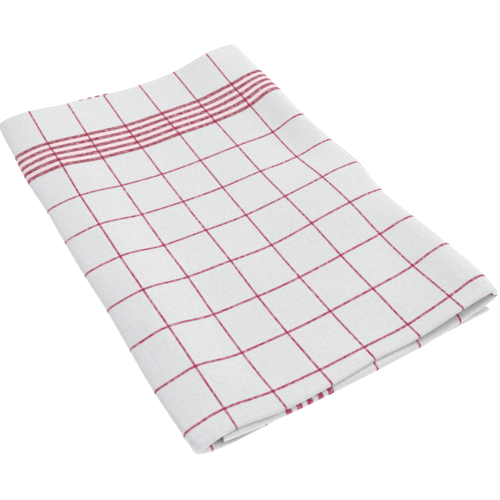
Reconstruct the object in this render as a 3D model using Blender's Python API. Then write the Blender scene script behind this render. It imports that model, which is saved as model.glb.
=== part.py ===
# Tea towel, folded flat: one piece of checked cotton, hemmed on all four sides.
#
# The towel is folded in half along its length, with the fold at the front edge.
# The doubled cloth is then folded in thirds across. The inner third, the flap, lies
# under the top third, and the bottom third lies under both, so six plies lie on
# each other. One section, drawn across the towel, holds all of it: from the hem at
# the flap's end, round the right fold, over the top, round the left fold and back
# along the surface to the other side hem. The section changes from front to back.
#
# Sizes are millimetres and become metres when the mesh is made.
# +X is right, +Y is back, +Z is up. The origin is under the middle of the folded towel.

import math
from collections import namedtuple

import bmesh
import bpy
import numpy as np

METRES_PER_MM = 0.001

# The cloth laid flat.
CLOTH_WIDTH = 600.0
CLOTH_LENGTH = 650.0
SHEET_THICKNESS = 1.0
HEM_WIDTH = 10.0
HEM_EXTRA = 0.5  # the turned hem is thicker than the sheet by this
HEM_RAMP = 1.5  # the hem's extra thickness ends over this width

# The stack of plies, pressed together.
PLY_GAP = 0.4
PLY_PITCH = SHEET_THICKNESS + PLY_GAP
HALF_PITCH = PLY_PITCH / 2  # from the middle of a doubled cloth to the middle of a ply
BOTTOM_LEVEL = HALF_PITCH + SHEET_THICKNESS / 2
FLAP_LEVEL = BOTTOM_LEVEL + 2 * PLY_PITCH
TOP_LEVEL = FLAP_LEVEL + 2 * PLY_PITCH  # lowest that the top third can lie

# The folded towel.
FOLDED_DEPTH = 320.0  # from the front fold to the back hem
HALF_LENGTH = CLOTH_LENGTH / 2
HALF_WIDTH = CLOTH_WIDTH / 2
BACK_RISE_LENGTH = 50.0  # the plies part over this length before the stacked back hems
RUN_ON = 150.0  # the section is drawn past both side hems, this far from the centre line

# Sections across the doubled cloth, from the front to the back. Places in x are from
# the cloth's centre line, and rises are above where the top third would lie if pressed.
# right_x and left_x are the outer ends of the two folds. The ridge is the crest beside
# the right fold, the valley is the lowest place of the top third, and the roll is the
# crest beside the left fold.
Section = namedtuple(
    "Section", "from_front right_x ridge_rise valley_x valley_rise roll_x roll_rise left_x")
SECTIONS = (
    Section(from_front=0, right_x=105.0, ridge_rise=11.0, valley_x=-6, valley_rise=0.8,
            roll_x=-85, roll_rise=3.5, left_x=-99.5),
    Section(from_front=16, right_x=106.0, ridge_rise=12.5, valley_x=-4, valley_rise=1.4,
            roll_x=-84, roll_rise=7.5, left_x=-100.5),
    Section(from_front=50, right_x=107.0, ridge_rise=10.5, valley_x=-12, valley_rise=0.7,
            roll_x=-82, roll_rise=7.0, left_x=-101.5),
    Section(from_front=115, right_x=107.5, ridge_rise=8.5, valley_x=-13, valley_rise=0.4,
            roll_x=-81, roll_rise=6.5, left_x=-101.0),
    Section(from_front=200, right_x=109.0, ridge_rise=6.5, valley_x=-9, valley_rise=0.4,
            roll_x=-82, roll_rise=6.5, left_x=-102.0),
    Section(from_front=280, right_x=109.0, ridge_rise=8.5, valley_x=0, valley_rise=1.0,
            roll_x=-80, roll_rise=7.5, left_x=-101.5),
    Section(from_front=320, right_x=108.0, ridge_rise=12.0, valley_x=4, valley_rise=1.2,
            roll_x=-81, roll_rise=9.0, left_x=-99.0),
)

# How far the front fold and the back hem stand out beyond the top third's own edges,
# at places across the cloth that are measured from the flap's side hem.
EdgeLine = namedtuple("EdgeLine", "place across front back")
EDGE_LINES = (
    EdgeLine("flap side hem", 0, 0.0, 3.0),
    EdgeLine("flap middle", 95, 4.0, 1.5),
    EdgeLine("flap right", 165, 3.0, -2.5),
    EdgeLine("right fold", 192, -1.0, -0.5),
    EdgeLine("top right", 222, -1.5, 0.5),
    EdgeLine("top middle", 300, 0.0, 0.0),
    EdgeLine("top left", 375, -2.5, 0.0),
    EdgeLine("left fold", 406, -4.0, -2.0),
    EdgeLine("bottom left", 435, -1.5, -2.5),
    EdgeLine("bottom middle", 510, 2.0, -3.0),
    EdgeLine("bottom side hem", 600, 0.5, -3.0),
)

# Where the two folds lie across the cloth, and how far each one's bend reaches.
RIGHT_FOLD_ACROSS = 192.0
LEFT_FOLD_ACROSS = 406.0
FOLD_REACH = 22.0

# Shape of the section's curves.
ROUND_HANDLE = 0.5523  # makes a Bezier quarter follow an ellipse
FLAP_BEND_START = 62.0  # the flap leaves the bottom third this far before the right fold
FLAP_BEND_HANDLE = 28.0
LEFT_BEND_START = 14.0  # the bottom third lies flat from here on
RIDGE_INSET = 0.9  # crest of the right fold, in loop radii from its outer end
ROLL_APEX = 0.45  # height of the left fold's outer end, in heights of its roll
SLOPE_HANDLE = 0.33
VALLEY_HANDLE = 0.55

# Mesh steps.
FLAT_STEP = 16.0
BEND_STEP = 3.6
LENGTH_STEP = 32.0
FRONT_LINES = (42.0, 30.0, 20.0, 12.0, 6.0, 0.0)  # distances behind the front fold's bend
NOSE_STEPS = 6
CURVE_STEPS = 24
STATION_STEP = 4.0
STATION_MARGIN = 8.0

CLOTH_COLOUR = (0.80, 0.80, 0.81, 1.0)
CLOTH_ROUGHNESS = 0.9


def clear_scene():
    for item in list(bpy.data.objects):
        bpy.data.objects.remove(item, do_unlink=True)


def smooth_step(value):
    value = np.clip(value, 0.0, 1.0)
    return value * value * (3.0 - 2.0 * value)


def smooth_between(places, values, at):
    """Cubic curve through the values, with the mean slope of its neighbours at each place."""
    places = np.asarray(places, float)
    values = np.asarray(values, float)
    slopes = np.gradient(values, places)
    at = np.clip(at, places[0], places[-1])
    left = np.clip(np.searchsorted(places, at, side="right") - 1, 0, len(places) - 2)
    span = places[left + 1] - places[left]
    u = (at - places[left]) / span
    return (values[left] * (1 + 2 * u) * (1 - u) ** 2
            + slopes[left] * span * u * (1 - u) ** 2
            + values[left + 1] * u * u * (3 - 2 * u)
            + slopes[left + 1] * span * u * u * (u - 1))


def bezier(start, start_handle, end_handle, end):
    u = np.linspace(0.0, 1.0, CURVE_STEPS)[1:, None]
    weights = ((1 - u) ** 3, 3 * (1 - u) ** 2 * u, 3 * (1 - u) * u * u, u ** 3)
    points = (np.array(p) for p in (start, start_handle, end_handle, end))
    return sum(weight * point for weight, point in zip(weights, points))


def section_at(from_front):
    """The section's values at a distance from the front, from the table above."""
    places = [row.from_front for row in SECTIONS]
    values = [float(smooth_between(places, [row[k] for row in SECTIONS], from_front))
              for k in range(1, len(Section._fields))]
    return Section(from_front, *values)


def section_curve(row):
    """Middle of the doubled cloth in x and z, and the cloth's own measure at each point.

    The flap and the bottom third run on past the side hems. The hems lie where the
    cloth's measure reaches 0 and CLOTH_WIDTH.
    """
    ridge_z = TOP_LEVEL + row.ridge_rise
    roll_z = TOP_LEVEL + row.roll_rise
    loop_radius = (ridge_z - FLAP_LEVEL) / 2
    apex = (row.right_x, FLAP_LEVEL + loop_radius)
    ridge = (row.right_x - RIDGE_INSET * loop_radius, ridge_z)
    valley = (row.valley_x, TOP_LEVEL + row.valley_rise)
    roll = (row.roll_x, roll_z)
    left = (row.left_x, ROLL_APEX * roll_z)
    flap_bend = (row.right_x - FLAP_BEND_START, FLAP_LEVEL)
    landing = (row.left_x + LEFT_BEND_START, BOTTOM_LEVEL)
    right_slope = ridge[0] - valley[0]
    left_slope = valley[0] - roll[0]

    pieces = [
        np.array([(-RUN_ON, FLAP_LEVEL), flap_bend]),
        bezier(flap_bend, (flap_bend[0] + FLAP_BEND_HANDLE, FLAP_LEVEL),
               (apex[0], apex[1] - ROUND_HANDLE * (apex[1] - FLAP_LEVEL)), apex),
        bezier(apex, (apex[0], apex[1] + ROUND_HANDLE * (ridge[1] - apex[1])),
               (ridge[0] + ROUND_HANDLE * (apex[0] - ridge[0]), ridge[1]), ridge),
        bezier(ridge, (ridge[0] - SLOPE_HANDLE * right_slope, ridge[1]),
               (valley[0] + VALLEY_HANDLE * right_slope, valley[1]), valley),
        bezier(valley, (valley[0] - VALLEY_HANDLE * left_slope, valley[1]),
               (roll[0] + SLOPE_HANDLE * left_slope, roll[1]), roll),
        bezier(roll, (roll[0] - ROUND_HANDLE * (roll[0] - left[0]), roll[1]),
               (left[0], left[1] + ROUND_HANDLE * (roll[1] - left[1])), left),
        bezier(left, (left[0], left[1] - ROUND_HANDLE * (left[1] - BOTTOM_LEVEL)),
               (landing[0] - ROUND_HANDLE * (landing[0] - left[0]), BOTTOM_LEVEL), landing),
        np.array([(RUN_ON, BOTTOM_LEVEL)]),
    ]
    curve = np.vstack(pieces)
    run = np.r_[0.0, np.cumsum(np.linalg.norm(np.diff(curve, axis=0), axis=1))]
    # The top third is the fourth and fifth piece, and crosses the centre line once.
    first_top_point = sum(len(piece) for piece in pieces[:3])
    past_top = first_top_point + len(pieces[3]) + len(pieces[4])
    top = slice(first_top_point, past_top)
    centre_run = np.interp(0.0, curve[top, 0][::-1], run[top][::-1])
    return curve, run - centre_run + HALF_WIDTH


def across_steps():
    """Places of the mesh's lines across the cloth: close at the folds and the hems."""
    hem_lines = [0.0, HEM_WIDTH, HEM_WIDTH + HEM_RAMP]
    stops = [
        (HEM_WIDTH + HEM_RAMP, RIGHT_FOLD_ACROSS - FOLD_REACH, FLAT_STEP),
        (RIGHT_FOLD_ACROSS - FOLD_REACH, RIGHT_FOLD_ACROSS + FOLD_REACH, BEND_STEP),
        (RIGHT_FOLD_ACROSS + FOLD_REACH, LEFT_FOLD_ACROSS - FOLD_REACH, FLAT_STEP),
        (LEFT_FOLD_ACROSS - FOLD_REACH, LEFT_FOLD_ACROSS + FOLD_REACH, BEND_STEP),
        (LEFT_FOLD_ACROSS + FOLD_REACH, CLOTH_WIDTH - HEM_WIDTH - HEM_RAMP, FLAT_STEP),
    ]
    lines = hem_lines[:-1]
    for start, end, step in stops:
        count = math.ceil((end - start) / step)
        lines += list(np.linspace(start, end, count + 1)[:-1])
    return np.array(lines + [CLOTH_WIDTH - place for place in reversed(hem_lines)])


def along_steps():
    """Distances from the back hem to the start of the front fold's bend."""
    nose_start = HALF_LENGTH - math.pi * HALF_PITCH / 2
    hem_end = HEM_WIDTH + HEM_RAMP
    front_start = nose_start - FRONT_LINES[0]
    count = math.ceil((front_start - hem_end) / LENGTH_STEP)
    middle_lines = np.linspace(hem_end, front_start, count + 1)[:-1]
    front_lines = [nose_start - place for place in FRONT_LINES]
    return np.array([0.0, HEM_WIDTH, *middle_lines, *front_lines])


def cloth_faces():
    """Right-side and wrong-side points of the whole cloth, as grids [along, across, xyz]."""
    across = across_steps()
    ply = along_steps()
    nose_angles = np.linspace(math.pi / 2, -math.pi / 2, NOSE_STEPS + 1)[1:-1]

    # One row for each line along the cloth: the outer ply, the front fold, the inner ply.
    from_hem = np.r_[ply, np.full(len(nose_angles), ply[-1]), ply[::-1]]
    angle = np.r_[np.full(len(ply), math.pi / 2), nose_angles, np.full(len(ply), -math.pi / 2)]
    from_hem = from_hem[:, None]
    angle = angle[:, None]

    # Extra half depth of the doubled cloth at the hems. The back hems of the thirds that
    # lie below lift each third by as much again for every ply.
    back_hem = 1 - smooth_step((from_hem - HEM_WIDTH) / HEM_RAMP)
    side_hem = 1 - smooth_step((np.minimum(across, CLOTH_WIDTH - across) - HEM_WIDTH) / HEM_RAMP)
    hem = HEM_EXTRA * np.maximum(back_hem, side_hem[None, :])
    past_right = smooth_step((across - RIGHT_FOLD_ACROSS) / FOLD_REACH + 0.5)
    past_left = smooth_step((across - LEFT_FOLD_ACROSS) / FOLD_REACH + 0.5)
    hems_below = 2 + 2 * past_right - 4 * past_left
    back_rise = 1 - smooth_step((from_hem - HEM_WIDTH) / BACK_RISE_LENGTH)
    lift = hem + HEM_EXTRA * hems_below[None, :] * back_rise

    # Place along y of every point, between the front line and the back line.
    places = [row.across for row in EDGE_LINES]
    front = -FOLDED_DEPTH / 2 - smooth_between(places, [row.front for row in EDGE_LINES], across)
    back = FOLDED_DEPTH / 2 + smooth_between(places, [row.back for row in EDGE_LINES], across)
    bend_centre = front + HALF_PITCH + SHEET_THICKNESS / 2
    y_middle = bend_centre + (back - bend_centre) * (1 - from_hem / ply[-1])

    # Section values at every point: the sections are worked out at stations along y.
    stations = np.arange(-FOLDED_DEPTH / 2 - STATION_MARGIN,
                         FOLDED_DEPTH / 2 + STATION_MARGIN, STATION_STEP)
    station_x = np.empty((len(stations), len(across)))
    station_z = np.empty_like(station_x)
    station_turn = np.empty_like(station_x)
    for k, station in enumerate(stations):
        curve, measure = section_curve(section_at(station + FOLDED_DEPTH / 2))
        tangent = np.gradient(curve, measure, axis=0)
        turn = np.unwrap(np.arctan2(tangent[:, 1], tangent[:, 0]))
        station_x[k] = np.interp(across, measure, curve[:, 0])
        station_z[k] = np.interp(across, measure, curve[:, 1])
        station_turn[k] = np.interp(across, measure, turn)

    def at_points(table):
        columns = [np.interp(y_middle[:, i], stations, table[:, i]) for i in range(len(across))]
        return np.array(columns).T

    x_middle = at_points(station_x)
    z_middle = at_points(station_z) + lift
    turn = at_points(station_turn)

    # The right side faces away from the doubled cloth's middle, and forward at the fold.
    outward_x = np.sin(turn)
    outward_z = -np.cos(turn)

    def face(depth_from_middle):
        out = depth_from_middle * np.sin(angle)
        forward = depth_from_middle * np.cos(angle)
        return np.stack([x_middle + out * outward_x, y_middle - forward,
                         z_middle + out * outward_z], axis=-1)

    right_side = face(HALF_PITCH + hem + SHEET_THICKNESS / 2)
    wrong_side = face(HALF_PITCH - SHEET_THICKNESS / 2)
    return right_side, wrong_side


def cell_triangles(index):
    """Two triangles for each cell of a face, from its grid of point numbers.

    The inner ply's diagonals mirror the outer ply's, so the two plies stay parallel.
    """
    a, b, c, d = (corner.ravel() for corner in (
        index[:-1, :-1], index[:-1, 1:], index[1:, 1:], index[1:, :-1]))
    rows, columns = index.shape[0] - 1, index.shape[1] - 1
    outer_ply = np.repeat(np.arange(rows) < rows // 2, columns)
    first = np.stack([a, b, np.where(outer_ply, c, d)], axis=-1)
    second = np.stack([np.where(outer_ply, a, b), c, d], axis=-1)
    return np.concatenate([first, second])


def strip(outer, inner):
    return np.stack([outer[:-1], inner[:-1], inner[1:], outer[1:]], axis=-1)


def towel_mesh():
    right_side, wrong_side = cloth_faces()
    points = np.concatenate([right_side.reshape(-1, 3), wrong_side.reshape(-1, 3)])
    low = points.min(axis=0)
    high = points.max(axis=0)
    points -= ((low[0] + high[0]) / 2, (low[1] + high[1]) / 2, 0.0)
    points *= METRES_PER_MM

    rows, columns = right_side.shape[:2]
    outer = np.arange(rows * columns).reshape(rows, columns)
    inner = outer + rows * columns
    cells = np.concatenate([cell_triangles(outer), cell_triangles(inner)[:, ::-1]])
    rim = np.concatenate([
        strip(outer[0], inner[0]), strip(outer[-1], inner[-1])[:, ::-1],
        strip(outer[:, 0], inner[:, 0])[:, ::-1], strip(outer[:, -1], inner[:, -1]),
    ])
    mesh = bpy.data.meshes.new("towel_cloth")
    mesh.from_pydata(points.tolist(), [], cells.tolist() + rim.tolist())
    bm = bmesh.new()
    bm.from_mesh(mesh)
    bmesh.ops.recalc_face_normals(bm, faces=bm.faces)
    bm.to_mesh(mesh)
    bm.free()
    mesh.shade_smooth()
    mesh.set_sharp_from_angle(angle=math.radians(40))
    return mesh


def cloth_material():
    material = bpy.data.materials.new("cotton")
    material.use_nodes = True
    shader = material.node_tree.nodes["Principled BSDF"]
    shader.inputs["Base Color"].default_value = CLOTH_COLOUR
    shader.inputs["Roughness"].default_value = CLOTH_ROUGHNESS
    shader.inputs["Metallic"].default_value = 0.0
    return material


def build_towel():
    towel = bpy.data.objects.new("towel_cloth", towel_mesh())
    towel.data.materials.append(cloth_material())
    bpy.context.scene.collection.objects.link(towel)
    return towel


clear_scene()
build_towel()
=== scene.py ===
# Looks of the folded tea towel: its cloth with every ply, the hem stitching, the floor,
# the light and the camera.

import math

import bpy
import numpy as np
from mathutils import Matrix


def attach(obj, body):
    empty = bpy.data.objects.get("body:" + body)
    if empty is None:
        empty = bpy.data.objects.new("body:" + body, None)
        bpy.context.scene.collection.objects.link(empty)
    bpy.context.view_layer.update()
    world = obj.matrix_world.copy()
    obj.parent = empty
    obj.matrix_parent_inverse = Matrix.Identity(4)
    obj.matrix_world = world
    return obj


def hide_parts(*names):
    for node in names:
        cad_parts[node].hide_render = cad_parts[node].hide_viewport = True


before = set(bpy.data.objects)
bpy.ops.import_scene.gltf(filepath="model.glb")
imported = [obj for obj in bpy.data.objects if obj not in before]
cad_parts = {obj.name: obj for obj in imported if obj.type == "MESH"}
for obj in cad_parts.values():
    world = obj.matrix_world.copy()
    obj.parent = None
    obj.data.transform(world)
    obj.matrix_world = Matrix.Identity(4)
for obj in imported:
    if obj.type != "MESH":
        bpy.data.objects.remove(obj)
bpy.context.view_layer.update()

# The flat cloth. Sizes here and below are in millimetres, across (u) and along (v).
cloth = {
    "width": 600.0,
    "length": 650.0,
    "thickness": 0.46,
    "plyGap": 0.14,  # between the outer and the inner ply
    "hemWidth": 10.0,
    "hemStep": 0.5,  # the turned cloth ends over this width
    "hemExtra": 0.80,  # the turned cloth makes the hem thicker by this
    "hemSpread": 26.0,  # the plies come together again over this length behind a hem
    "noseShare": 3.5,  # a front fold narrows over noseBase and this many times its half height
    "noseBase": 6.0,
    "edgeRound": 0.55,  # the hem's edge is round over this width
    "edgeLeft": 0.02,  # least share of the thickness that is left at the edge, squared
}

# The doubled cloth's section at places from the front fold to the back hem: the right fold's
# outer end and crest, heights h6 to h2 across the top third, the left fold's crest and outer
# end, and how far the flap's end is raised.
sectionNames = ("fromFront", "rightX", "ridgeZ", "h6", "h5", "h4", "h3", "h2",
                "rollZ", "leftX", "endRise")
sectionRows = (
    (0.0, 105.0, 18.4, 16.3, 9.3, 8.0, 8.2, 8.2, 8.5, -98.2, 0.0),
    (14.0, 107.0, 21.0, 15.1, 8.5, 7.2, 7.1, 7.3, 9.0, -100.3, 0.0),
    (45.0, 109.0, 17.6, 10.1, 7.3, 5.2, 4.4, 4.6, 10.5, -102.3, 0.0),
    (79.0, 108.6, 13.4, 8.4, 6.3, 4.1, 3.5, 4.5, 13.5, -102.4, 0.0),
    (112.0, 106.9, 11.6, 10.3, 7.1, 3.8, 4.5, 6.5, 15.3, -102.2, 0.0),
    (146.0, 110.6, 11.9, 9.5, 6.2, 3.7, 4.3, 5.8, 14.6, -102.8, 0.1),
    (180.0, 109.4, 11.2, 6.0, 5.5, 3.8, 4.1, 6.6, 13.3, -102.5, 0.3),
    (213.0, 106.9, 15.7, 8.9, 6.9, 4.4, 4.5, 7.5, 12.2, -101.9, 0.7),
    (247.0, 106.9, 19.6, 13.0, 7.5, 6.2, 5.3, 8.6, 13.8, -103.1, 1.5),
    (277.0, 108.2, 18.2, 14.8, 8.8, 6.9, 6.7, 10.4, 14.2, -102.0, 2.2),
    (320.0, 107.0, 20.3, 19.3, 11.0, 8.4, 9.1, 12.8, 17.1, -99.7, 2.3),
)
acrossTop = (77.0, 46.6, 15.5, -15.5, -46.6)  # where h6 to h2 are

# By place u across the cloth: how far the front fold and the back hem stand out, and half
# the height of the front fold.
edgeRows = (
    (0.0, 0.2, 7.0, 1.2),
    (16.0, 1.5, 6.5, 1.3),
    (36.0, 2.8, 5.9, 1.9),
    (60.0, 3.5, 5.3, 2.1),
    (95.0, 3.8, 2.7, 2.3),
    (130.0, 3.3, -0.2, 2.3),
    (165.0, 2.0, -2.6, 2.3),
    (192.0, -0.1, -1.6, 1.8),
    (207.0, -0.1, -1.2, 1.4),
    (222.0, 0.3, -2.1, 1.2),
    (253.0, 0.1, -1.8, 1.2),
    (284.0, -0.5, -1.6, 1.2),
    (315.0, 1.4, -2.1, 1.2),
    (346.0, 1.8, -2.7, 1.2),
    (378.0, -1.3, -3.4, 1.2),
    (398.0, 0.3, -3.1, 2.2),
    (408.0, 0.9, -2.8, 2.2),
    (416.0, 1.3, -2.8, 1.0),
    (435.0, 1.2, -2.4, 0.9),
    (480.0, 0.0, -1.1, 0.9),
    (530.0, 0.6, -0.2, 0.9),
    (565.0, 0.7, 0.3, 0.9),
    (600.0, 0.7, 0.6, 0.9),
)

# Soft creases: start and end on the flat cloth (u, v), half width, and height outwards.
creaseFade = 0.3  # share of its length over which a crease fades at each end
creases = (
    (392.0, 30.0, 356.0, 120.0, 7.0, 0.55),
    (404.0, 130.0, 372.0, 205.0, 8.0, -0.50),
    (398.0, 215.0, 366.0, 300.0, 7.0, 0.60),
    (376.0, 250.0, 330.0, 318.0, 9.0, -0.45),
    (345.0, 60.0, 300.0, 95.0, 10.0, 0.45),
    (330.0, 165.0, 262.0, 140.0, 11.0, -0.40),
    (300.0, 250.0, 240.0, 300.0, 9.0, 0.50),
    (262.0, 30.0, 218.0, 88.0, 8.0, -0.50),
    (236.0, 120.0, 204.0, 196.0, 8.0, 0.55),
    (222.0, 210.0, 200.0, 285.0, 7.0, -0.45),
    (318.0, 282.0, 292.0, 322.0, 6.0, 0.40),
    (286.0, 200.0, 336.0, 216.0, 10.0, 0.35),
)

folds = {
    "depth": 320.0,  # from the front fold to the back hem
    "shiftX": -3.4,  # moves the middle of the folded towel to the origin
    "flapBend": 60.3,  # the flap leaves the bottom third this far before the right fold
    "flapHandle": 19.1,  # how softly it leaves
    "ridgeInset": 0.95,  # crest of the right fold, in loop radii from its outer end
    "leftLanding": 16.0,  # the left fold lands on the floor this far from its outer end
    "frontLanding": 14.0,  # the pressed front of the left fold lands this much later
    "overHem": 1.2,  # the flap's rise over the bottom third's side hem
    "overHemUp": (128.0, 154.0),  # it rises and falls between these places
    "overHemDown": (168.0, 192.0),
    "rollApex": 0.69,  # height of the left fold's outer end, in heights of its crest
    "rollX": -82.0,  # where the left fold's crest is
    "frontReach": 34.0,  # the stacked front folds part the plies over this length
    "backReach": 46.0,  # and the stacked back hems over this one
    "slack": 0.2,  # loose space under the flap
    "bottomNose": 0.95,  # half heights of the front folds
    "flapNose": 2.3,
    "flapRise": -46.0,  # the flap's end rises between these two places
    "flapLevel": 24.0,
}

# Fineness of the surface: places from a hem's edge inwards, places up to the front fold's
# line, and stretches across the cloth with their step, which is finer in the side folds.
grid = {
    "hem": (0.0, 0.12, 0.3, 0.55, 1.5, 4.0, 7.0, 8.2, 8.8, 9.4, 10.0, 10.5, 12.0, 15.0, 19.0, 24.0),
    "nose": (24.0, 18.0, 13.0, 10.0, 8.0, 6.5, 5.2, 4.1, 3.2, 2.5, 1.9, 1.4, 0.95, 0.6, 0.3),
    "across": ((24.0, 160.0, 3.6), (160.0, 214.0, 1.5), (214.0, 380.0, 3.6),
               (380.0, 428.0, 1.5), (428.0, 576.0, 3.6)),
    "alongStep": 4.2,
    "stationStep": 3.0,  # from section to section, front to back
    "stationMargin": (10.0, 12.0),  # sections before the front line and behind the hem
    "noseReach": 45.0,  # the front fold's profile is worked out this far, in so many steps
    "noseSteps": 900,
    "curveSteps": 28,  # points in a bend of the section, and between two heights on the top
    "topSteps": 14,
    "endRun": 150.0,  # the section's two ends run this far past the middle
}

# How far the woven lines have slid from an even spacing, across and along. Each row is a
# place along the cloth, then the slide at each of slidePlaces across it.
outerLength = 320.3  # of the weave on the outer ply, because the fold isn't quite in the middle
slidePlaces = (160.0, 222.0, 284.0, 347.0, 378.0, 440.0)
slideAcross = (
    (0.0, -0.2, 0.2, -0.5, 0.1, 0.5, 0.0),
    (106.0, -0.1, -1.2, -0.2, -0.9, -0.5, 0.0),
    (207.0, 0.1, 1.5, -0.8, -0.6, -2.0, 0.0),
    (312.0, 0.0, 0.5, -0.6, 0.4, 2.6, 0.0),
)
slideAlong = (
    (0.0, 0.1, -0.6, 0.2, 0.9, 0.3, 0.0),
    (106.0, -0.8, -1.7, -0.2, 0.9, 0.1, -1.1),
    (207.0, 0.7, 3.0, -0.3, 1.4, -3.0, -0.5),
    (312.0, 0.2, 0.3, -1.0, 2.0, 1.9, 2.4),
)


def smoothStep(value):
    # 0 up to 0, 1 from 1 on, and three squares less two cubes between them.
    value = np.clip(value, 0.0, 1.0)
    return value * value * (3.0 - 2.0 * value)


def smoothCurve(places, values, at):
    # Cubic through the values, with the mean slope of its neighbours at each place.
    places, values = np.asarray(places, float), np.asarray(values, float)
    slopes = np.gradient(values, places)
    at = np.clip(at, places[0], places[-1])
    left = np.clip(np.searchsorted(places, at, side="right") - 1, 0, len(places) - 2)
    span = places[left + 1] - places[left]
    w = (at - places[left]) / span
    return (values[left] * (1 + 2 * w) * (1 - w) ** 2 + slopes[left] * span * w * (1 - w) ** 2
            + values[left + 1] * w * w * (3 - 2 * w) + slopes[left + 1] * span * w * w * (w - 1))


def bezierPiece(start, startHandle, endHandle, end, steps=grid["curveSteps"]):
    # Points of a cubic Bezier for every station at once: [station, step, xz], without the
    # first point, where the piece before it ends.
    w = np.linspace(0.0, 1.0, steps)[1:, None]
    start, startHandle, endHandle, end = (
        point[:, None, :] for point in (start, startHandle, endHandle, end))
    return ((1 - w) ** 3 * start + 3 * (1 - w) ** 2 * w * startHandle
            + 3 * (1 - w) * w * w * endHandle + w ** 3 * end)


def pair(x, z):
    # Points [station, xz] from one or both of x and z per station.
    return np.stack(np.broadcast_arrays(np.asarray(x, float), np.asarray(z, float)), axis=-1)


def halfDepth(fromFront, noseHeight):
    # Half depth of the doubled cloth at a distance behind the front line: fold, plain, hem.
    plain = cloth["plyGap"] / 2 + cloth["thickness"]
    front = (noseHeight - plain) * (1 - smoothStep(fromFront / folds["frontReach"]))
    fromHem = folds["depth"] - fromFront - cloth["hemWidth"]
    return plain + front + cloth["hemExtra"] * (1 - smoothStep(fromHem / folds["backReach"]))


def sectionStations(fromFront):
    # Middle of the doubled cloth in x and z at every station, and the cloth's measure u there.
    # Flap, right fold, top third, left fold and bottom third are joined Bezier curves, and u is
    # the length along them, counted so that the cloth's middle lies at x = 0 on the top.
    columns = dict(zip(sectionNames, zip(*sectionRows)))
    table = {name: smoothCurve(columns["fromFront"], column, fromFront)
             for name, column in columns.items()}
    bottomZ = halfDepth(fromFront, folds["bottomNose"])
    flapZ = 2 * bottomZ + halfDepth(fromFront, folds["flapNose"]) + folds["slack"]
    rightX, ridgeZ, leftX, rollZ = (table[k] for k in ("rightX", "ridgeZ", "leftX", "rollZ"))
    endZ = flapZ + table["endRise"]
    radius = (ridgeZ - flapZ) / 2
    ridgeX = rightX - folds["ridgeInset"] * radius
    apexZ = flapZ + radius
    rollX = np.full_like(leftX, folds["rollX"])
    leftZ = folds["rollApex"] * rollZ
    bendX = rightX - folds["flapBend"]
    riseX, levelX = (np.full_like(leftX, folds[k]) for k in ("flapRise", "flapLevel"))
    riseHandle = (folds["flapLevel"] - folds["flapRise"]) / 2
    pressed = 1 - smoothStep(fromFront / folds["frontReach"])
    landX = leftX + folds["leftLanding"] + folds["frontLanding"] * pressed
    k = 0.5523  # handle length, in radii, with which a Bezier quarter follows an ellipse

    knotX = [ridgeX] + [np.full_like(leftX, x) for x in acrossTop] + [rollX]
    knotZ = [ridgeZ] + [table["h%d" % n] for n in (6, 5, 4, 3, 2)] + [rollZ]
    # The top third runs through its heights with slopes that keep it smooth, and is level at
    # both crests.
    slopes = [np.zeros_like(leftX)]
    for n in range(1, len(knotX) - 1):
        before = (knotZ[n] - knotZ[n - 1]) / (knotX[n] - knotX[n - 1])
        after = (knotZ[n + 1] - knotZ[n]) / (knotX[n + 1] - knotX[n])
        spanBefore, spanAfter = knotX[n - 1] - knotX[n], knotX[n] - knotX[n + 1]
        slopes.append((before * spanAfter + after * spanBefore) / (spanAfter + spanBefore))
    slopes.append(np.zeros_like(leftX))
    topPieces = []
    for n in range(len(knotX) - 1):
        third = (knotX[n + 1] - knotX[n]) / 3
        topPieces.append(bezierPiece(
            pair(knotX[n], knotZ[n]), pair(knotX[n] + third, knotZ[n] + slopes[n] * third),
            pair(knotX[n + 1] - third, knotZ[n + 1] - slopes[n + 1] * third),
            pair(knotX[n + 1], knotZ[n + 1]), grid["topSteps"]))

    pieces = [
        pair(np.full_like(leftX, -grid["endRun"]), endZ)[:, None, :],
        pair(riseX, endZ)[:, None, :],
        bezierPiece(pair(riseX, endZ), pair(riseX + riseHandle, endZ),
                    pair(levelX - riseHandle, flapZ), pair(levelX, flapZ), grid["topSteps"]),
        pair(bendX, flapZ)[:, None, :],
        bezierPiece(pair(bendX, flapZ), pair(bendX + folds["flapHandle"], flapZ),
                    pair(rightX, apexZ - k * radius), pair(rightX, apexZ)),
        bezierPiece(pair(rightX, apexZ), pair(rightX, apexZ + k * (ridgeZ - apexZ)),
                    pair(ridgeX + k * (rightX - ridgeX), ridgeZ), pair(ridgeX, ridgeZ)),
        *topPieces,
        bezierPiece(pair(rollX, rollZ), pair(rollX - k * (rollX - leftX), rollZ),
                    pair(leftX, leftZ + k * (rollZ - leftZ)), pair(leftX, leftZ)),
        bezierPiece(pair(leftX, leftZ), pair(leftX, leftZ - k * (leftZ - bottomZ)),
                    pair(landX - k * (landX - leftX), bottomZ), pair(landX, bottomZ)),
        pair(np.full_like(leftX, grid["endRun"]), bottomZ)[:, None, :],
    ]
    curve = np.concatenate(pieces, axis=1)
    step = np.linalg.norm(np.diff(curve, axis=1), axis=2)
    measure = np.concatenate([np.zeros((len(curve), 1)), np.cumsum(step, axis=1)], axis=1)
    topStart = sum(piece.shape[1] for piece in pieces[:6])
    topEnd = topStart + sum(piece.shape[1] for piece in topPieces)
    top = slice(topStart - 1, topEnd)
    for n in range(len(curve)):
        at = np.interp(0.0, curve[n, top, 0][::-1], measure[n, top][::-1])
        measure[n] += cloth["width"] / 2 - at
    return curve, measure


def acrossLines():
    # The grid's places u across the cloth: close at both hems, and in even steps between them.
    lines = list(grid["hem"][:-1])
    for start, end, step in grid["across"]:
        lines += list(np.linspace(start, end, math.ceil((end - start) / step) + 1)[:-1])
    return np.array(lines + [cloth["width"] - place for place in reversed(grid["hem"])])


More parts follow.
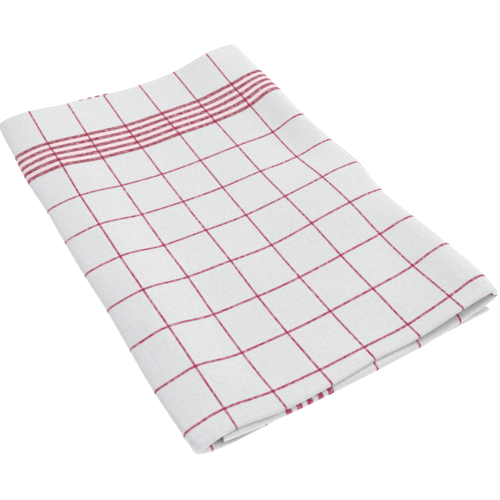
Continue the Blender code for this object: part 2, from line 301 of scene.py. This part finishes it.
def alongLines():
    # Distances along one ply from the hem's edge to the front fold's line.
    half = cloth["length"] / 2
    start, end = grid["hem"][-1], half - grid["nose"][0]
    middle = np.linspace(start, end, math.ceil((end - start) / grid["alongStep"]) + 1)
    return np.array([*grid["hem"][:-1], *middle[:-1], *(half - place for place in grid["nose"])])


def noseProfile(distance, halfHeight):
    # The ply's middle near the front fold, by its distance from the fold's line: how far back
    # it is, half the space between the two plies, and its slope, as grids [along, across].
    # A round end whose radius is the fold's half height narrows behind to the plain cloth.
    fine = np.linspace(0.0, grid["noseReach"], grid["noseSteps"])[:, None]
    plain = (cloth["plyGap"] + cloth["thickness"]) / 2
    radius = halfHeight[None, :] - cloth["thickness"] / 2
    quarter = math.pi / 2 * radius
    length = cloth["noseBase"] + cloth["noseShare"] * halfHeight[None, :]
    narrowing = plain + (radius - plain) * np.exp(-((fine - quarter) / length) ** 2)
    half = np.where(fine < quarter, radius * np.sin(fine / radius), narrowing)
    rise = np.gradient(half, fine[:, 0], axis=0)
    level = np.sqrt(np.clip(1 - rise ** 2, 0, 1))
    run = np.cumsum((level[1:] + level[:-1]) / 2, axis=0) * fine[1]
    back = np.concatenate([np.zeros_like(radius), run])
    place = np.clip(distance / fine[1], 0, len(fine) - 1.001)
    low = place.astype(int)
    share = (place - low)[:, None]
    backAt, halfAt, riseAt = (
        table[low] * (1 - share) + table[low + 1] * share for table in (back, half, rise))
    return backAt + np.clip(distance - fine[-1], 0, None)[:, None], halfAt, riseAt


def foldedMiddle(u, fromFront):
    # Middle of the doubled cloth [along, across, xyz] and its section's turn, at every place.
    # Each section is read at the places u, and places between two sections are blended.
    before, behind = grid["stationMargin"]
    stations = np.arange(-before, folds["depth"] + behind, grid["stationStep"])
    curve, measure = sectionStations(stations)
    stationX, stationZ, stationTurn = (np.empty((len(stations), len(u))) for _ in range(3))
    for n in range(len(stations)):
        keep = np.concatenate([[True], np.diff(measure[n]) > 1e-6])
        points, at = curve[n][keep], measure[n][keep]
        tangent = np.gradient(points, at, axis=0)
        turn = np.unwrap(np.arctan2(tangent[:, 1], tangent[:, 0]))
        stationX[n] = np.interp(u, at, points[:, 0])
        stationZ[n] = np.interp(u, at, points[:, 1])
        stationTurn[n] = np.interp(u, at, turn)
    place = (np.clip(fromFront, stations[0], stations[-1]) - stations[0]) / grid["stationStep"]
    low = np.clip(place.astype(int), 0, len(stations) - 2)
    share = place - low
    column = np.arange(len(u))[None, :]
    x, z, turn = (table[low, column] * (1 - share) + table[low + 1, column] * share
                  for table in (stationX, stationZ, stationTurn))
    return np.stack([x, fromFront, z], axis=-1), turn


def hemExtraAt(fromHem):
    # How much a hem lifts each ply: all its extra thickness on the hem, none past its spread.
    return cloth["hemExtra"] * (1 - smoothStep((fromHem - cloth["hemWidth"]) / cloth["hemSpread"]))


def creaseRise(u, v):
    # Soft creases of the doubled cloth: each is a ridge or trough along a line, Gaussian across
    # it, that fades over its two ends. Grid [along, across] in millimetres.
    fold = np.minimum(v, cloth["length"] - v)
    x, y = np.meshgrid(u, fold)
    rise = np.zeros_like(x)
    for startU, startV, endU, endV, width, height in creases:
        length = math.hypot(endU - startU, endV - startV)
        alongU, alongV = (endU - startU) / length, (endV - startV) / length
        along = ((x - startU) * alongU + (y - startV) * alongV) / length
        across = (x - startU) * alongV - (y - startV) * alongU
        ends = smoothStep(along / creaseFade) * smoothStep((1 - along) / creaseFade)
        rise += height * ends * np.exp(-(across / width) ** 2)
    return rise


def wovenPlace(u, v):
    # Where the weave's own measures lie on the folded cloth, as grids [along, across]: each
    # ply's length is scaled to its share of the weave, and the slides are added.
    half = cloth["length"] / 2
    along = np.where(v < half, v * outerLength / half,
                     outerLength + (v - half) * (cloth["length"] - outerLength) / half)
    slides = []
    for rows in (slideAcross, slideAlong):
        places = [row[0] for row in rows]
        byRow = np.array([smoothCurve(slidePlaces, row[1:], u) for row in rows])
        slides.append(np.stack(
            [smoothCurve(places, column, np.minimum(v, half)) for column in byRow.T], axis=1))
    return u[None, :] + slides[0], along[:, None] + slides[1]


def clothFaces(u, v):
    # Right and wrong side of the folded cloth, as grids [along, across, xyz] in millimetres:
    # the doubled cloth's middle, moved along its normal by half the space between the plies
    # and by the creases, then by half the sheet's thickness to both sides.
    side = np.sign(cloth["length"] / 2 - v)[:, None]  # 1 on the outer ply, -1 on the inner one
    places, *columns = zip(*edgeRows)
    front, rear, noseHeight = (smoothCurve(places, column, u) for column in columns)
    front, rear = -front, folds["depth"] + rear
    back, half, rise = noseProfile(np.abs(cloth["length"] / 2 - v), noseHeight)
    wholeBack = noseProfile(np.array([cloth["length"] / 2]), noseHeight)[0]
    fromFront = front + back * (rear - front) / wholeBack

    fromSide = np.minimum(u, cloth["width"] - u)[None, :]
    fromEnd = np.minimum(v, cloth["length"] - v)[:, None]
    nearest = np.minimum(fromSide, fromEnd)
    turned = 1 - smoothStep((nearest - cloth["hemWidth"]) / cloth["hemStep"])
    extra = hemExtraAt(nearest)
    middle, turn = foldedMiddle(u, fromFront)
    # A side hem is thicker on both of its sides, so the doubled cloth rises there.
    middle[..., 2] += np.clip(hemExtraAt(fromSide) - hemExtraAt(fromEnd), 0, None)
    up, down = ((u - start) / (end - start)
                for start, end in (folds["overHemUp"], folds["overHemDown"]))
    middle[..., 2] += folds["overHem"] * (smoothStep(up) * (1 - smoothStep(down)))[None, :]

    normal = np.stack([np.sin(turn), np.zeros_like(turn), -np.cos(turn)], axis=-1)
    forward = np.array([0.0, -1.0, 0.0])
    level = np.sqrt(np.clip(1 - rise ** 2, 0, 1))
    outward = side[..., None] * level[..., None] * normal + rise[..., None] * forward
    outward[np.abs(side[:, 0]) < 0.5] = forward
    centre = middle + (side * (half + extra) + creaseRise(u, v))[..., None] * normal

    # The turned cloth of a hem lies on the wrong side, and its edge is a round fold.
    sheet = cloth["thickness"]
    inward = sheet / 2 + cloth["hemExtra"] * turned
    toEdge = 1 - np.clip(nearest / cloth["edgeRound"], 0, 1)
    rounding = np.sqrt(np.clip(1 - toEdge ** 2, cloth["edgeLeft"], 1))
    midway = (sheet / 2 - inward) / 2
    spread = (sheet / 2 + inward) / 2 * rounding
    right = centre + (midway + spread)[..., None] * outward
    wrong = centre + (midway - spread)[..., None] * outward
    origin = np.array([folds["shiftX"], -folds["depth"] / 2, 0.0])
    return right + origin, wrong + origin


def clothPiece():
    # The right side's grid, the wrong side's grid turned over, and a rim of quads that closes
    # their four edges. Its UV map holds the weave's own measures in metres.
    u, ply = acrossLines(), alongLines()
    v = np.concatenate([ply, [cloth["length"] / 2], cloth["length"] - ply[::-1]])
    right, wrong = clothFaces(u, v)
    rows, columns = right.shape[:2]
    points = np.concatenate([right.reshape(-1, 3), wrong.reshape(-1, 3)]) / 1000.0
    index = np.arange(rows * columns).reshape(rows, columns)

    def cells(side):
        corners = [side[:-1, :-1], side[:-1, 1:], side[1:, 1:], side[1:, :-1]]
        return np.stack(corners, axis=-1).reshape(-1, 4)

    def rim(outer):
        inner = outer + rows * columns
        return np.stack([outer[:-1], inner[:-1], inner[1:], outer[1:]], axis=-1)

    faces = np.concatenate([
        cells(index), cells(index)[:, ::-1] + rows * columns,
        rim(index[0]), rim(index[-1])[:, ::-1], rim(index[:, 0])[:, ::-1], rim(index[:, -1])])
    mesh = bpy.data.meshes.new("towelCloth")
    mesh.vertices.add(len(points))
    mesh.vertices.foreach_set("co", points.ravel())
    mesh.loops.add(faces.size)
    mesh.loops.foreach_set("vertex_index", faces.ravel().astype(np.int32))
    mesh.polygons.add(len(faces))
    mesh.polygons.foreach_set("loop_start", np.arange(0, faces.size, 4, dtype=np.int32))
    mesh.update(calc_edges=True)
    mesh.validate()
    flat = np.stack(wovenPlace(u, v), axis=-1).reshape(-1, 2)
    flat = np.concatenate([flat, flat]) / 1000.0
    layer = mesh.uv_layers.new(name="clothMap")
    layer.data.foreach_set("uv", flat[faces.ravel()].ravel())
    mesh.shade_smooth()
    piece = bpy.data.objects.new("towelCloth", mesh)
    bpy.context.scene.collection.objects.link(piece)
    return piece


stitch = {
    "fromHem": 8.4,  # from the hem's edge to the seam
    "length": 2.6,
    "gap": 0.9,
    "thread": 0.17,  # radius of the sewing thread
    "taper": 0.9,  # how much of its section it loses at a stitch's ends, squared
    "sunk": 0.05,  # its depth in the cloth, and its share that is pulled in as well
    "pulledIn": 0.6,
    "ends": 14.0,  # left free at a corner
    "rings": 5,
    "sides": 6,
    "colour": (0.88, 0.87, 0.86, 1.0),
    "shade": 0.9,  # painted shade between the strands: the colour is darkened to this share there
    "twist": 900.0,  # strands per metre
    "roughness": 0.7,
    "relief": 0.3,
    "reliefDepth": 0.0001,  # metres
}


def seamRow(runsAcross, fixed, total):
    # One row of stitches along the right side. Each is a tube of rings round the seam's line
    # that thins out and dips in at both of its ends.
    pitch = stitch["length"] + stitch["gap"]
    seam = total - 2 * stitch["ends"]
    count = int(seam // pitch)
    starts = stitch["ends"] + (seam - count * pitch) / 2 + np.arange(count) * pitch
    share = np.linspace(0.0, 1.0, stitch["rings"])
    places = (starts[:, None] + share * stitch["length"]).ravel()
    if runsAcross:
        right, wrong = clothFaces(places, np.array([fixed]))
        right, wrong = right[0], wrong[0]
    else:
        right, wrong = clothFaces(np.array([fixed]), places)
        right, wrong = right[:, 0], wrong[:, 0]
    outward = right - wrong
    outward /= np.linalg.norm(outward, axis=1, keepdims=True)
    along = np.gradient(right, axis=0)
    along /= np.linalg.norm(along, axis=1, keepdims=True)
    sideways = np.cross(along, outward)
    swell = np.tile(np.sqrt(1 - (2 * share - 1) ** 4 * stitch["taper"]), count)[:, None]
    radius = stitch["thread"] * swell
    centre = right + outward * (radius - stitch["sunk"] - stitch["thread"] * stitch["pulledIn"])
    angle = (np.arange(stitch["sides"]) * 2 * math.pi / stitch["sides"])[None, :, None]
    ring = np.cos(angle) * sideways[:, None, :] + np.sin(angle) * outward[:, None, :]
    points = centre[:, None, :] + ring * radius[:, None, :]
    return points.reshape(count, stitch["rings"], stitch["sides"], 3)


def stitchPiece():
    # All four hems are sewn, on the outer ply and on the inner one.
    rows = [seamRow(True, stitch["fromHem"], cloth["width"]),
            seamRow(True, cloth["length"] - stitch["fromHem"], cloth["width"]),
            seamRow(False, stitch["fromHem"], cloth["length"]),
            seamRow(False, cloth["width"] - stitch["fromHem"], cloth["length"])]
    points = np.concatenate(rows)
    count, rings, sides = points.shape[:3]
    index = np.arange(count * rings * sides).reshape(count, rings, sides)
    turned = np.roll(index, -1, axis=2)
    walls = [index[:, :-1], turned[:, :-1], turned[:, 1:], index[:, 1:]]
    walls = np.stack(walls, axis=-1).reshape(-1, 4)
    caps = np.concatenate([index[:, 0, ::-1], index[:, -1]]).reshape(-1, sides)
    mesh = bpy.data.meshes.new("hemStitches")
    mesh.from_pydata((points.reshape(-1, 3) / 1000).tolist(), [], walls.tolist() + caps.tolist())
    mesh.update()
    mesh.shade_smooth()
    piece = bpy.data.objects.new("hemStitches", mesh)
    bpy.context.scene.collection.objects.link(piece)
    return piece


weave = {
    "warpPitch": 31.1 / 52,  # millimetres from thread to thread, across and along the cloth
    "weftPitch": 438.0 / 728,
    "checkAcross": 31.1,  # from thin line to thin line
    "checkAlong": 438.0 / 13,
    "firstAcross": 97.85,  # first thin line from the side hem
    "firstAlong": 106.0,
    "bandAcross": (39.1, 6.76),  # first stripe of the side band, and the stripes' spacing
    "bandAlong": (42.3, 7.32),
    "thinAcross": 1.45,  # width of the thin lines that run lengthwise
    "thinAlong": 1.75,
    "stripeWidth": 3.6,
    "bandHalf": 2.5,  # half widths of the border of stripes and of its tint, in spacings
    "tintHalf": 2.2,
    "white": (0.84, 0.83, 0.82, 1.0),
    "red": (0.49, 0.008, 0.085, 1.0),
    "bandRed": (0.36, 0.007, 0.050, 1.0),  # the wide stripes are dyed darker
    "blush": (0.98, 0.79, 0.80, 1.0),  # the white threads between the wide stripes
    "redCover": 0.55,  # how much further a red thread shows than a white one
    "unevenYarn": 1.0,  # how much that varies
    "threadEdge": 6.0,  # sharpness of the threads' edges
    "yarnLength": 2.2,  # millimetres between thick and thin places of a red yarn
    "slub": 0.07,  # lighter and darker specks where a yarn is thick
    "slubSize": 2.4,
    "streak": 0.035,  # how much thicker and thinner yarns change the cloth's lightness
    "streakAcross": 0.9,  # width and length of a streak in millimetres
    "streakLength": 14.0,
    "relief": 0.10,
    "reliefDepth": 0.0002,  # metres
    "roughness": 0.9,
    "sheen": 0.1,
}


class NodeMaker:
    # Short calls for math on sockets and numbers.
    def __init__(self, tree):
        self.tree = tree

    def node(self, kind, **settings):
        made = self.tree.nodes.new(kind)
        for name, value in settings.items():
            setattr(made, name, value)
        return made

    def put(self, socket, value):
        if isinstance(value, bpy.types.NodeSocket):
            self.tree.links.new(value, socket)
        else:
            socket.default_value = value

    def calc(self, operation, *values, clamp=False):
        made = self.node("ShaderNodeMath", operation=operation, use_clamp=clamp)
        for socket, value in zip(made.inputs, values):
            self.put(socket, value)
        return made.outputs[0]

    def mix(self, share, first, second):
        made = self.node("ShaderNodeMix", data_type="RGBA")
        self.put(made.inputs[0], share)
        self.put(made.inputs[6], first)
        self.put(made.inputs[7], second)
        return made.outputs[2]

    def noise(self, place, scale, detail):
        # Plane noise about zero, from -0.5 to 0.5.
        made = self.node("ShaderNodeTexNoise", noise_dimensions="2D")
        self.put(made.inputs["Vector"], place)
        made.inputs["Scale"].default_value = scale
        made.inputs["Detail"].default_value = detail
        return self.calc("SUBTRACT", made.outputs[0], 0.5)

    def relief(self, shader, height, values):
        # A bump with the strength and depth of a piece's own values.
        made = self.node("ShaderNodeBump")
        made.inputs["Strength"].default_value = values["relief"]
        made.inputs["Distance"].default_value = values["reliefDepth"]
        self.put(made.inputs["Height"], height)
        self.put(shader.inputs["Normal"], made.outputs[0])


def stripeMask(m, place, size, pitch, first, bandStart, bandStep, thin, stripe):
    # 1 where a red stripe lies: thin lines at every pitch, and five wide stripes in the border.
    # Both are counted from the nearer edge, and a zigzag wave gives the distance to a line.
    fromEdge = m.calc("MINIMUM", place, m.calc("SUBTRACT", size, place))
    thinOff = m.calc("PINGPONG", m.calc("SUBTRACT", fromEdge, first), pitch / 2)
    pastBorder = m.calc("GREATER_THAN", fromEdge, first - pitch / 3)
    isThin = m.calc("MULTIPLY", m.calc("LESS_THAN", thinOff, thin / 2), pastBorder)
    bandOff = m.calc("PINGPONG", m.calc("SUBTRACT", fromEdge, bandStart), bandStep / 2)
    inBand = m.calc("COMPARE", fromEdge, bandStart + 2 * bandStep, weave["bandHalf"] * bandStep)
    isStripe = m.calc("MULTIPLY", m.calc("LESS_THAN", bandOff, stripe / 2), inBand)
    return m.calc("MAXIMUM", isThin, isStripe)


def bandMask(m, v):
    # 1 inside the border's wide stripes, where their dye has tinted the white threads a little.
    start, step = weave["bandAlong"]
    fromEdge = m.calc("MINIMUM", v, m.calc("SUBTRACT", cloth["length"], v))
    return m.calc("COMPARE", fromEdge, start + 2 * step, weave["tintHalf"] * step)


def threadWave(m, place, first, pitch):
    # A cosine with its crests and troughs on the threads.
    return m.calc("COSINE", m.calc("MULTIPLY", m.calc("SUBTRACT", place, first), math.pi / pitch))


def cottonMaterial():
    # Red and white warp and weft threads on the cloth's UV map, with uneven yarns.
    material = bpy.data.materials.new("checkedCotton")
    material.use_nodes = True
    m = NodeMaker(material.node_tree)
    shader = material.node_tree.nodes["Principled BSDF"]
    uv = m.node("ShaderNodeUVMap", uv_map="clothMap").outputs[0]
    split = m.node("ShaderNodeSeparateXYZ")
    m.put(split.inputs[0], uv)
    u = m.calc("MULTIPLY", split.outputs[0], 1000.0)
    v = m.calc("MULTIPLY", split.outputs[1], 1000.0)
    redWarp = stripeMask(m, u, cloth["width"], weave["checkAcross"], weave["firstAcross"],
                         *weave["bandAcross"], weave["thinAcross"], weave["stripeWidth"])
    redWeft = stripeMask(m, v, cloth["length"], weave["checkAlong"], weave["firstAlong"],
                         *weave["bandAlong"], weave["thinAlong"], weave["stripeWidth"])
    # Plain weave: the product of two waves is positive where the weft is on top.
    over = m.calc("MULTIPLY", threadWave(m, u, weave["firstAcross"], weave["warpPitch"]),
                  threadWave(m, v, weave["firstAlong"], weave["weftPitch"]))
    # A red thread covers more of a white one, by a share that varies along the yarns.
    yarn = m.noise(uv, 1000.0 / weave["yarnLength"], 1.0)
    cover = m.calc("ADD", weave["redCover"], m.calc("MULTIPLY", yarn, 2 * weave["unevenYarn"]))
    bias = m.calc("MULTIPLY", m.calc("SUBTRACT", redWeft, redWarp), cover)
    weftOnTop = m.calc("MULTIPLY_ADD", m.calc("ADD", over, bias), weave["threadEdge"], 0.5,
                       clamp=True)
    # Thicker and thinner yarns give faint streaks in both directions, and specks.
    wide, long = 1.0 / weave["streakAcross"], 1.0 / weave["streakLength"]
    streaks = []
    for scaleU, scaleV in ((wide, long), (long, wide)):
        place = m.node("ShaderNodeCombineXYZ")
        m.put(place.inputs[0], m.calc("MULTIPLY", u, scaleU))
        m.put(place.inputs[1], m.calc("MULTIPLY", v, scaleV))
        streaks.append(m.noise(place.outputs[0], 1.0, 2.0))
    slubs = m.calc("MULTIPLY", m.noise(uv, 1000.0 / weave["slubSize"], 2.0), 2 * weave["slub"])
    tone = m.calc("MULTIPLY_ADD", m.calc("ADD", *streaks), 2 * weave["streak"],
                  m.calc("ADD", slubs, 1.0))
    inBand = bandMask(m, v)
    plain = m.mix(inBand, weave["white"], weave["blush"])
    warpColour = m.mix(redWarp, plain, weave["red"])
    weftColour = m.mix(redWeft, plain, m.mix(inBand, weave["red"], weave["bandRed"]))
    colour = m.node("ShaderNodeVectorMath", operation="SCALE")
    m.put(colour.inputs[0], m.mix(weftOnTop, warpColour, weftColour))
    m.put(colour.inputs["Scale"], tone)
    m.put(shader.inputs["Base Color"], colour.outputs[0])
    shader.inputs["Roughness"].default_value = weave["roughness"]
    shader.inputs["Sheen Weight"].default_value = weave["sheen"]
    m.relief(shader, m.calc("POWER", m.calc("ABSOLUTE", over), 0.5), weave)
    return material


def threadMaterial():
    # Twisted sewing thread: fine diagonal waves in its bump and in its colour, on Object
    # coordinates; the colour's waves are painted shade between the strands.
    material = bpy.data.materials.new("sewingThread")
    material.use_nodes = True
    m = NodeMaker(material.node_tree)
    shader = material.node_tree.nodes["Principled BSDF"]
    place = m.node("ShaderNodeTexCoord").outputs["Object"]
    twist = m.node("ShaderNodeTexWave", wave_type="BANDS", bands_direction="DIAGONAL")
    m.put(twist.inputs["Vector"], place)
    twist.inputs["Scale"].default_value = stitch["twist"]
    # painted shade: the thread's colour darkened in the grooves between its strands
    strandShadeColour = tuple(stitch["shade"] * part for part in stitch["colour"][:3]) + (1.0,)
    m.put(shader.inputs["Base Color"], m.mix(twist.outputs[1], strandShadeColour, stitch["colour"]))
    shader.inputs["Roughness"].default_value = stitch["roughness"]
    m.relief(shader, twist.outputs[1], stitch)
    return material


print("cloth and hem stitches")
towel = clothPiece()
stitches = stitchPiece()
stitches.data.materials.append(threadMaterial())
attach(stitches, "root")
towel.data.materials.append(cottonMaterial())
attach(towel, "root")
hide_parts("towel_cloth")

studio = {
    "floorHalf": 3.0,  # metres
    "floorZ": -0.0003,
    "floorColour": (0.45, 0.45, 0.45, 1.0),
    "floorRoughness": 0.9,
    "floorGlow": 0.82,  # a lit table, which leaves hardly any shadow
    "skyColour": (0.93, 0.95, 1.0, 1.0),
    "skyStrength": 0.68,
    "lampPower": 10.0,
    "lampPlace": (0.9, 0.45, 1.2),
    "lampSize": 0.9,
}


def floorPiece():
    # A flat square under the towel.
    mesh = bpy.data.meshes.new("floor")
    half, z = studio["floorHalf"], studio["floorZ"]
    corners = [(-half, -half, z), (half, -half, z), (half, half, z), (-half, half, z)]
    mesh.from_pydata(corners, [], [(0, 1, 2, 3)])
    material = bpy.data.materials.new("paleFloor")
    material.use_nodes = True
    shader = material.node_tree.nodes["Principled BSDF"]
    shader.inputs["Base Color"].default_value = studio["floorColour"]
    shader.inputs["Roughness"].default_value = studio["floorRoughness"]
    shader.inputs["Emission Color"].default_value = (1, 1, 1, 1)
    shader.inputs["Emission Strength"].default_value = studio["floorGlow"]
    mesh.materials.append(material)
    floor = bpy.data.objects.new("floor", mesh)
    bpy.context.scene.collection.objects.link(floor)


def lights():
    # An even pale sky, and one soft square lamp from the right that looks at the towel.
    world = bpy.data.worlds.new("studioSky")
    bpy.context.scene.world = world
    world.use_nodes = True
    background = world.node_tree.nodes["Background"]
    background.inputs[0].default_value = studio["skyColour"]
    background.inputs[1].default_value = studio["skyStrength"]
    data = bpy.data.lights.new("softLamp", "AREA")
    data.energy = studio["lampPower"]
    data.size = studio["lampSize"]
    lamp = bpy.data.objects.new("softLamp", data)
    lamp.location = studio["lampPlace"]
    lamp.rotation_euler = lamp.location.to_track_quat("Z", "Y").to_euler()
    bpy.context.scene.collection.objects.link(lamp)


view = {
    "azimuth": -30.724,  # degrees
    "elevation": 45.271,
    "roll": 0.343,
    "place": (-189.35, -357.67, 371.86),  # millimetres
    "lens": 57.09,
    "sensor": 36.0,
    "near": 0.01,  # metres
    "far": 20.0,
}


def cameraAtPhoto():
    # The camera's place, then its turns about Z, about X and about its own axis.
    data = bpy.data.cameras.new("photoView")
    data.sensor_width = view["sensor"]
    data.lens = view["lens"]
    data.clip_start, data.clip_end = view["near"], view["far"]
    camera = bpy.data.objects.new("photoView", data)
    place = [part / 1000 for part in view["place"]]
    azimuth, tilt, roll = (
        math.radians(angle) for angle in (view["azimuth"], 90 - view["elevation"], view["roll"]))
    camera.matrix_world = (Matrix.Translation(place) @ Matrix.Rotation(azimuth, 4, "Z")
                           @ Matrix.Rotation(tilt, 4, "X") @ Matrix.Rotation(roll, 4, "Z"))
    bpy.context.scene.collection.objects.link(camera)
    bpy.context.scene.camera = camera


print("stage, light and camera")
floorPiece()
lights()
cameraAtPhoto()
bpy.context.scene.view_settings.view_transform = "Standard"
